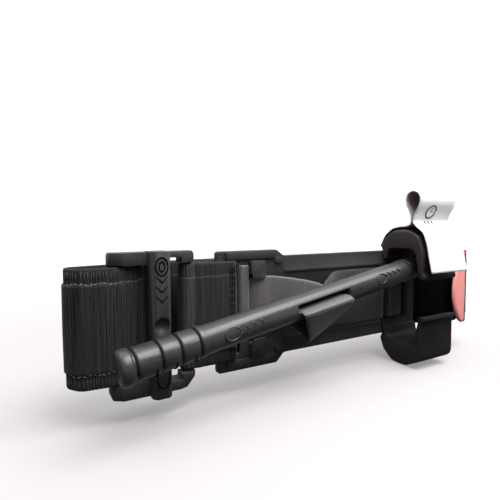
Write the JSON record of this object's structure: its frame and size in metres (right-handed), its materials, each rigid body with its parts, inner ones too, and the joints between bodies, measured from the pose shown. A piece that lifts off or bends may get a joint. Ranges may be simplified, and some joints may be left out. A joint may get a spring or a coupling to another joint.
{
  "type": "windlass tourniquet",
  "caption": "Stowed windlass tourniquet: folded webbing band, moulded plate, turning rod with strap through its slot, two-sided clip, routing buckle, time strap and red free end.",
  "frame": {"origin": "middle of the bounding box at its lowest point, the lower horn of the clip", "axes": "+X along the band from the left fold to the right fold, +Y to the back (the side that lies against a limb), +Z across the band's width, upwards as it stands on its long edge"},
  "size_m": [0.1952, 0.0412, 0.0795],
  "materials": {
    "moulded_black": "fine satin moulded nylon",
    "rod_black": "satin glass-filled nylon",
    "buckle_black": "satin moulded nylon",
    "webbing_black": "ribbed hook-and-loop webbing",
    "inner_strap": "smooth nylon strap",
    "time_strap_white": "smooth white write-on strap",
    "hook_grey": "fine hook fabric",
    "tip_red": "coated webbing end"
  },
  "bodies": {
    "plate_and_stack": {"stabilization_plate": "moulded_black", "windlass_clip": "moulded_black", "inner_strap_left": "inner_strap", "inner_strap_right": "inner_strap", "sleeve_run": "webbing_black", "band_outer_run": "webbing_black", "loop_flap": "webbing_black", "time_strap_anchor": "time_strap_white"},
    "windlass": {"windlass_rod": "rod_black", "inner_strap_loop": "inner_strap"},
    "buckle": {"routing_buckle": "buckle_black", "buckle_loop": "webbing_black", "band_left_run": "webbing_black"},
    "time_strap": {"time_strap_loop": "time_strap_white", "time_strap_hook_tab": "hook_grey"},
    "free_end": {"band_tail": "webbing_black", "red_tip": "tip_red"}
  },
  "joints": [
    {"name": "windlass_turn", "type": "hinge", "parent": "plate_and_stack", "child": "windlass", "pos_m": [-0.01046, -0.00921, 0.03568], "axis": [0, 1, 0], "range_deg": [0, 22]},
    {"name": "buckle_bend", "type": "hinge", "parent": "plate_and_stack", "child": "buckle", "pos_m": [-0.05096, 0.00699, 0.03223], "axis": [0, 0, 1], "range_deg": [-15, 8]},
    {"name": "time_strap_peel", "type": "hinge", "parent": "plate_and_stack", "child": "time_strap", "pos_m": [0.05554, -0.00931, 0.06593], "axis": [-1, 0, 0], "range_deg": [0, 65]},
    {"name": "free_end_peel", "type": "hinge", "parent": "plate_and_stack", "child": "free_end", "pos_m": [0.08454, 0.02079, 0.03223], "axis": [0, 0, 1], "range_deg": [0, 90]}
  ]
}
